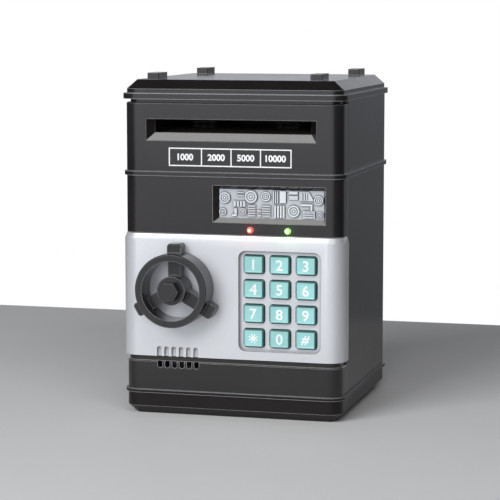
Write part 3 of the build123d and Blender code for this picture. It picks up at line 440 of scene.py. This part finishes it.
# Painted shade: sheltered areas and corners are darkened in the colour.
near = Wire.node("ShaderNodeAmbientOcclusion", {"samples": 8, "only_local": True},
                 {"Distance": 0.0022}, output="AO")
painted_door_shade = ramp(near, (0.45, 1.0), (0.97, 0.0))
tint = blend_colour(painted_door_shade * 0.75, tint, (0.13, 0.13, 0.14, 1))
finish({"Metallic": 0.30, "Coat Weight": 0.35, "Coat Roughness": 0.12}, {
    # Painted highlight: edges are painted paler.
    "Base Color": blend_colour(painted_highlight_edges * 0.4, tint, (0.85, 0.86, 0.87, 1)),
    "Roughness": 0.34 + 0.06 * speckle(0.01, 4.0) + 0.05 * tilt,
    "Normal": grain(speckle(0.0008, 2.0), 0.000008),
})
coat(silver, "door_front")
soften(0.25 * MM, "door_front")


# ---------------------------------------------------------------- keys
# Twelve keys are moulded in mint green plastic.  Each has a retaining flange behind the door, a
# tapered cap whose flanks are painted darker as shade and a shallow dished face, and springs back
# on the rubber sheet.
KEY_NAMES = ("1", "2", "3", "4", "5", "6", "7", "8", "9", "star", "0", "hash")
KEY_CORNER = 1.6 * MM                 # radius of the flange's corners
FLANGE_MARGIN = KEY_CORNER * 0.6      # flange stands out past the cap all round
FLANGE_DEPTH = 0.75 * MM
KEY_ROUNDING = 0.16 * MM
DISH = 0.16 * MM

mint = moulded("mint_plastic", (0.30, 0.62, 0.60), (0.55, 0.86, 0.82), 0.30, 0.1, 0.0006, 0.00001,
               {"Subsurface Weight": 0.05, "Subsurface Radius": (0.0005, 0.0008, 0.0008)})
face_tint = Wire(Wire.tree.nodes["Principled BSDF"].inputs["Base Color"].links[0].from_socket)
# Painted shade: the caps' flanks are painted dark teal.
painted_flank_shade_mask = ramp(frontal(), (0.35, 0.0), (0.85, 1.0))
finish({}, {"Base Color": blend_colour(painted_flank_shade_mask, (0.02, 0.11, 0.11, 1), face_tint)})


def edit(obj):
    """Make this the only selected object and start editing it with nothing selected."""
    bpy.ops.object.select_all(action="DESELECT")
    bpy.context.view_layer.objects.active = obj
    obj.select_set(True)
    bpy.ops.object.mode_set(mode="EDIT")
    bpy.ops.mesh.select_all(action="DESELECT")


def pick(obj, test, kind="faces"):
    """Select the faces or edges that pass a test."""
    mesh = bmesh.from_edit_mesh(obj.data)
    bpy.ops.mesh.select_mode(type="FACE" if kind == "faces" else "EDGE")
    for item in getattr(mesh, kind):
        item.select_set(test(item))
    mesh.select_flush_mode()
    bmesh.update_edit_mesh(obj.data)


def extrude_by(offset, scale=1.0):
    """Pull the selected faces out along Y and scale their outline."""
    bpy.ops.mesh.extrude_region_move(TRANSFORM_OT_translate={"value": (0, offset, 0)})
    bpy.ops.transform.resize(value=(scale, 1, scale))


def settle(obj, material, body, name):
    """Finish a piece: its place goes into its mesh, it gets a material and it rides on a body."""
    bpy.ops.object.mode_set(mode="OBJECT")
    bpy.ops.object.select_all(action="DESELECT")
    bpy.context.view_layer.objects.active = obj
    obj.select_set(True)
    bpy.ops.object.transform_apply(location=True, rotation=True, scale=True)
    obj.name = obj.data.name = name
    obj.data.materials.clear()
    obj.data.materials.append(material)
    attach(obj, body)


def apply_modifiers(obj):
    """Apply every modifier in order."""
    bpy.ops.object.select_all(action="DESELECT")
    bpy.context.view_layer.objects.active = obj
    obj.select_set(True)
    for modifier in list(obj.modifiers):
        bpy.ops.object.modifier_apply(modifier=modifier.name)


def key_cap(low, high):
    """Model one key between the corners of its CAD box."""
    size, middle = high - low, (high + low) / 2
    flange_y = high.y - FLANGE_DEPTH / 2
    bpy.ops.mesh.primitive_cube_add(size=1, location=(middle.x, flange_y, middle.z),
                                    scale=(size.x, FLANGE_DEPTH, size.z))
    cap = bpy.context.active_object
    bpy.ops.object.transform_apply(location=False, rotation=False, scale=True)
    edit(cap)
    pick(cap, lambda e: abs((e.verts[0].co - e.verts[1].co).normalized().y) > 0.9, "edges")
    bpy.ops.mesh.bevel(offset=KEY_CORNER, segments=6, affect="EDGES")
    pick(cap, lambda f: f.normal.y < -0.9)
    bpy.ops.mesh.inset(thickness=FLANGE_MARGIN)
    travel = size.y - FLANGE_DEPTH
    extrude_by(-travel * 0.33)
    extrude_by(-travel * 0.55, 0.905)
    extrude_by(-travel * 0.12, 0.93)
    extrude_by(0, 0.9)
    extrude_by(DISH, 0.95)
    extrude_by(DISH * 0.4, 0.8)
    bpy.ops.object.mode_set(mode="OBJECT")
    rounding = cap.modifiers.new("rounded edges", "BEVEL")
    rounding.width, rounding.segments = KEY_ROUNDING, 3
    rounding.limit_method, rounding.angle_limit = "ANGLE", math.radians(20)
    apply_modifiers(cap)
    bpy.ops.object.shade_smooth_by_angle(angle=math.radians(40))
    return cap


first_low, first_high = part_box("key_1")
first_middle = (first_low + first_high) / 2
pattern_cap = key_cap(first_low, first_high)
for name in KEY_NAMES:
    low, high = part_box("key_" + name)
    cap = pattern_cap.copy()
    cap.data = pattern_cap.data.copy()
    bpy.context.collection.objects.link(cap)
    cap.location = pattern_cap.location + (low + high) / 2 - first_middle
    settle(cap, mint, "key_" + name, "keycap_" + name)
    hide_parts("key_" + name)
bpy.data.objects.remove(pattern_cap)


# ---------------------------------------------------------------- key figures
# Each key carries a raised white figure, pad printed on top: plain digits, a star and a hash.
white_ink = moulded("white_ink", (0.86, 0.88, 0.88), (0.9, 0.9, 0.9), 0.38, 0.1, 0.0004, 0.000006)
FIGURE_HEIGHT, FIGURE_BOLD = 5.8 * MM, 0.1 * MM
HASH_SHARE, HASH_SLANT = 0.86, 0.25   # of a figure's height, and how far it leans
STAR_MIDDLE, STAR_ARM = 0.72 * MM, 2.0 * MM
INK_THICKNESS = 0.07 * MM
JOIN = 0.012 * MM                     # outline points this close become one


def printed_text(words, height, x, y, z, bold, slant=0.0):
    """Flat raised lettering that faces front, centred on a point."""
    bpy.ops.object.text_add(location=(0, 0, 0))
    text = bpy.context.active_object
    text.data.body = words
    text.data.size = height
    text.data.align_x = "CENTER"
    text.data.extrude = INK_THICKNESS
    text.data.offset = bold
    text.data.shear = slant
    text.data.resolution_u = 6
    bpy.ops.object.convert(target="MESH")
    text = bpy.context.active_object
    text.scale = (height / text.dimensions.y, height / text.dimensions.y, 1)
    bpy.ops.object.transform_apply(location=False, rotation=False, scale=True)
    edit(text)
    bpy.ops.mesh.select_all(action="SELECT")
    bpy.ops.mesh.remove_doubles(threshold=JOIN)
    bpy.ops.mesh.dissolve_degenerate(threshold=JOIN)
    bpy.ops.mesh.normals_make_consistent(inside=False)
    bpy.ops.object.mode_set(mode="OBJECT")
    corners = [Vector(c) for c in text.bound_box]
    across = (min(c.x for c in corners) + max(c.x for c in corners)) / 2
    up = (min(c.y for c in corners) + max(c.y for c in corners)) / 2
    text.rotation_euler = (math.pi / 2, 0, 0)
    text.location = (x - across, y, z - up)
    return text


def printed_star(x, y, z):
    """Star of eight bars round a small middle."""
    bpy.ops.mesh.primitive_cylinder_add(vertices=8, radius=STAR_MIDDLE, depth=2 * INK_THICKNESS,
                                        rotation=(math.pi / 2, 0, 0), location=(x, y, z))
    star = bpy.context.active_object
    bpy.ops.object.transform_apply(location=False, rotation=True, scale=True)
    edit(star)
    pick(star, lambda f: abs(f.normal.y) < 0.5)
    bpy.ops.mesh.extrude_faces_move()
    bpy.ops.transform.shrink_fatten(value=STAR_ARM)
    bpy.ops.object.mode_set(mode="OBJECT")
    return star


for name in KEY_NAMES:
    low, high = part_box("key_" + name)
    x, z = (low.x + high.x) / 2, (low.z + high.z) / 2
    y = low.y + DISH * 1.4
    if name == "star":
        figure = printed_star(x, y, z)
    else:
        slant = HASH_SLANT if name == "hash" else 0.0
        height = FIGURE_HEIGHT * (HASH_SHARE if name == "hash" else 1.0)
        words = "#" if name == "hash" else name
        figure = printed_text(words, height, x, y, z, FIGURE_BOLD, slant)
    settle(figure, white_ink, "key_" + name, "figure_" + name)


# ---------------------------------------------------------------- handwheel
# The knob is a deep three-spoked handwheel in black plastic whose walls are painted darker than
# its face as shade; a hexagonal cap hides its screw.
wheel_black = moulded("satin_black", (0.017, 0.0165, 0.0175), (0.34, 0.34, 0.35), 0.2, 0.1,
                      0.0005, 0.00001)
# Painted shade: the wheel's walls are painted darker than its face.
rim = ramp(frontal(), (0.2, 0.0), (0.7, 1.0))
wheel_tint = Wire(Wire.tree.nodes["Principled BSDF"].inputs["Base Color"].links[0].from_socket)
finish({}, {"Base Color": blend_colour(rim * 0.7 + 0.3, (0.004, 0.003, 0.003, 1), wheel_tint)})
coat(wheel_black, "knob_wheel", "knob_cap")
soften(0.3 * MM, "knob_wheel", angle=25)
soften(0.2 * MM, "knob_cap", angle=25)


# ---------------------------------------------------------------- printed values
# Four note values are screen printed in white below the slot, each in a thin frame.
INK_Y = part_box("upper_front")[0].y - 0.01 * MM
LEGEND_X = [-34.5 * MM, -16.4 * MM, 0.1 * MM, 16.4 * MM, 33.2 * MM]
LEGEND_LOW, LEGEND_HIGH = 137.4 * MM, 146.7 * MM
LINE = 0.32 * MM                      # width of a printed line
VALUE_HEIGHT, VALUE_BOLD = 3.7 * MM, 0.13 * MM


def printed_cells():
    """Row of four printed boxes that share their dividing lines."""
    width, height = LEGEND_X[4] - LEGEND_X[0], LEGEND_HIGH - LEGEND_LOW
    middle = ((LEGEND_X[0] + LEGEND_X[4]) / 2, INK_Y, (LEGEND_LOW + LEGEND_HIGH) / 2)
    bpy.ops.mesh.primitive_grid_add(x_subdivisions=4, y_subdivisions=1, size=1, location=middle,
                                    rotation=(math.pi / 2, 0, 0))
    cells = bpy.context.active_object
    cells.scale = (width, height, 1)
    bpy.ops.object.transform_apply(location=True, rotation=True, scale=True)
    edit(cells)
    for n in (1, 2, 3):
        even = LEGEND_X[0] + width * n / 4
        pick(cells, lambda e: all(abs(v.co.x - even) < 0.1 * MM for v in e.verts), "edges")
        bpy.ops.transform.translate(value=(LEGEND_X[n] - even, 0, 0))
    pick(cells, lambda e: e.is_boundary, "edges")
    bpy.ops.mesh.extrude_edges_move()
    bpy.ops.transform.resize(value=(1 + 2 * LINE / width, 1, 1 + 2 * LINE / height))
    reach = LINE / 2
    pick(cells, lambda f: all(LEGEND_X[0] - reach < v.co.x < LEGEND_X[4] + reach
                              and LEGEND_LOW - reach < v.co.z < LEGEND_HIGH + reach
                              for v in f.verts))
    bpy.ops.mesh.inset(thickness=LINE, use_individual=True)
    bpy.ops.mesh.delete(type="FACE")
    bpy.ops.mesh.select_all(action="SELECT")
    bpy.ops.mesh.extrude_region_move(TRANSFORM_OT_translate={"value": (0, INK_THICKNESS, 0)})
    bpy.ops.mesh.select_all(action="SELECT")
    bpy.ops.mesh.normals_make_consistent(inside=False)
    return cells


box_lines = printed_cells()
settle(box_lines, white_ink, "housing", "value_boxes")
for n, value in enumerate(("1000", "2000", "5000", "10000")):
    across, up = (LEGEND_X[n] + LEGEND_X[n + 1]) / 2, (LEGEND_LOW + LEGEND_HIGH) / 2
    figures = printed_text(value, VALUE_HEIGHT, across, INK_Y + 0.02 * MM, up, VALUE_BOLD)
    settle(figures, white_ink, "housing", "value_" + value)


# ---------------------------------------------------------------- floor, lights and camera
# A pale table, two large soft lights, a faint glow before each lamp, an uneven studio whose
# bright band stands ahead of the object, and the camera.
bpy.ops.mesh.primitive_plane_add(size=1, location=(0, -0.1, 0))
floor = bpy.context.active_object
floor.scale = (1.0, 0.8, 1)
bpy.ops.object.transform_apply(location=True, rotation=True, scale=True)
floor.name = "floor"
floor_paint = new_material("pale_table")
finish({}, {
    "Base Color": blend_colour(speckle(0.05, 3.0), (0.86, 0.86, 0.86, 1), (0.9, 0.9, 0.9, 1)),
    "Roughness": 0.6 + 0.1 * speckle(0.02),
})
floor.data.materials.append(floor_paint)


def soft_light(name, location, target, width, height, power, colour):
    """Rectangular soft light that faces a point."""
    bpy.ops.object.light_add(type="AREA", location=location)
    light = bpy.context.active_object
    light.name = name
    light.data.shape = "RECTANGLE"
    light.data.size, light.data.size_y = width, height
    light.data.energy = power
    light.data.color = colour
    aim = Vector(target) - Vector(location)
    light.rotation_euler = aim.to_track_quat("-Z", "Y").to_euler()


LIT_POINT = (0, 0, 0.1)
soft_light("front_left", (-0.55, -1.25, 0.8), LIT_POINT, 0.8, 0.7, 12.5, (0.97, 0.985, 1.0))
soft_light("front_strip", (0.35, -0.95, 1.0), LIT_POINT, 1.2, 0.14, 5.5, (1.0, 0.995, 0.985))

GLOW_AHEAD, GLOW_POWER, GLOW_RADIUS = 1.2 * MM, 0.0015, 0.001
for node_name, colour in (("led_red", RED_GLOW), ("led_green", GREEN_GLOW)):
    low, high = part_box(node_name)
    before_lamp = ((low.x + high.x) / 2, low.y - GLOW_AHEAD, (low.z + high.z) / 2)
    bpy.ops.object.light_add(type="POINT", location=before_lamp)
    spark = bpy.context.active_object
    spark.name = node_name + "_light"
    spark.data.energy = GLOW_POWER
    spark.data.color = colour
    spark.data.shadow_soft_size = GLOW_RADIUS

world = bpy.data.worlds.new("studio")
bpy.context.scene.world = world
world.use_nodes = True
Wire.tree = world.node_tree
direction = Wire.node("ShaderNodeTexCoord", output="Generated")
depthwise = Wire.node("ShaderNodeSeparateXYZ", inputs={0: direction}, output=1)
height = Wire.node("ShaderNodeSeparateXYZ", inputs={0: direction}, output=2)
ahead = ramp(depthwise * 0.5 + 0.5, (0.03, 1.0), (0.16, 0.08), (0.5, 0.04))
ahead = ahead * ramp(height * 0.5 + 0.5, (0.38, 0.08), (0.41, 0.1), (0.435, 0.4), (0.465, 0.65),
                     (0.485, 1.0), (0.56, 1.0), (0.7, 0.15)) * 2.0
behind = ramp(depthwise * 0.5 + 0.5, (0.5, 0.05), (0.82, 0.12), (0.96, 1.0))
behind = behind * ramp(height * 0.5 + 0.5, (0.35, 0.5), (0.42, 0.12), (0.485, 0.14), (0.53, 0.7),
                       (0.6, 0.7), (0.75, 0.1))
sky = ahead + behind
seen = Wire.node("ShaderNodeLightPath", output="Is Camera Ray")
strength = seen + (1 - seen) * sky
background = world.node_tree.nodes["Background"]
world.node_tree.links.new(strength.output, background.inputs["Strength"])
air = blend_colour(seen, (0.95, 0.98, 1.05, 1), (1, 1, 1, 1))
world.node_tree.links.new(air.output, background.inputs["Color"])

bpy.ops.object.camera_add(location=(0.28844, -1.0910, 0.22137),
                          rotation=(math.pi / 2 - 0.12, 0, 0.2634))
camera = bpy.context.active_object
camera.name = "camera"
camera.data.sensor_width = 36
camera.data.lens = 144.07
bpy.context.scene.camera = camera
bpy.context.scene.view_settings.view_transform = "Standard"
